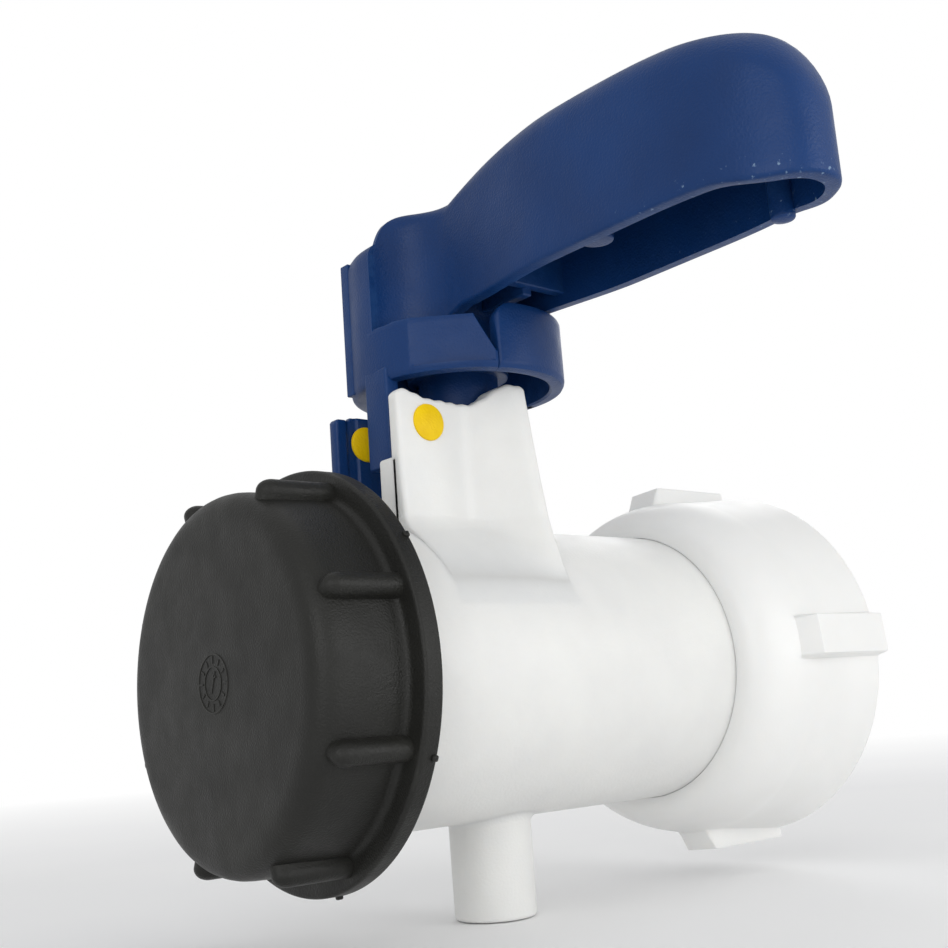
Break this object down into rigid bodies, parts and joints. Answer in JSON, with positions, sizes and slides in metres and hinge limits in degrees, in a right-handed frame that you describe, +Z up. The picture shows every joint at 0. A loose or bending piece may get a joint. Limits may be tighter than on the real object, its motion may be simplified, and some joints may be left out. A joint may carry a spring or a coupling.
{
  "type": "IBC tank valve",
  "caption": "Butterfly outlet valve for a bulk container: straight white tube, blue quarter-turn lever, white union nut to the tank, and a black ribbed screw cap on the outlet.",
  "frame": {"origin": "centre of the union nut's open mouth, on the flow line", "axes": "+X out of the nut's mouth towards the tank, +Z up along the stem, towards the lever"},
  "size_m": [0.1559, 0.1488, 0.1622],
  "materials": {
    "white_body": "natural polyethylene, satin, slightly translucent",
    "white_nut": "white polyethylene, satin",
    "black_plastic": "black polypropylene, satin with fine mould grain",
    "blue_plastic": "blue polypropylene, satin with fine mould grain",
    "yellow_plastic": "yellow plastic, satin",
    "grey_plastic": "glass-filled nylon, satin",
    "rubber": "black nitrile rubber",
    "pale_foam": "white foamed polyethylene",
    "steel": "stainless steel"
  },
  "bodies": {
    "root": {"valve_body": "white_body", "nut_split_ring": "grey_plastic", "inlet_gasket": "rubber", "spindle_bush": "grey_plastic", "front_lock_plug": "yellow_plastic"},
    "lever_and_disc": {"handle": "blue_plastic", "handle_screw": "steel", "handle_washer": "steel", "screw_cover": "blue_plastic", "spindle": "grey_plastic", "spindle_o_rings": "rubber", "lower_o_ring": "rubber", "butterfly_disc": "white_body", "disc_seal": "rubber", "rear_lock_plug": "yellow_plastic"},
    "nut": {"union_nut": "white_nut"},
    "cap_seal": {"cap_gasket": "pale_foam"},
    "cap": {"dust_cap": "black_plastic"}
  },
  "joints": [
    {"name": "handle_turn", "type": "hinge", "parent": "root", "child": "lever_and_disc", "pos_m": [-0.09, 0, 0], "axis": [0, 0, 1], "range_deg": [-90, 0]},
    {"name": "nut_spin", "type": "hinge", "parent": "root", "child": "nut", "pos_m": [0, 0, 0], "axis": [1, 0, 0], "continuous": true},
    {"name": "cap_slide", "type": "slide", "parent": "root", "child": "cap_seal", "axis": [-1, 0, 0], "range_m": [0, 0.018]},
    {"name": "cap_turn", "type": "hinge", "parent": "cap_seal", "child": "cap", "pos_m": [-0.15, 0, 0], "axis": [-1, 0, 0], "range_deg": [0, 1080]}
  ],
  "couplings": [
    {"joint": "cap_slide", "follows": "cap_turn", "m_per_rad": 0.0009549}
  ]
}
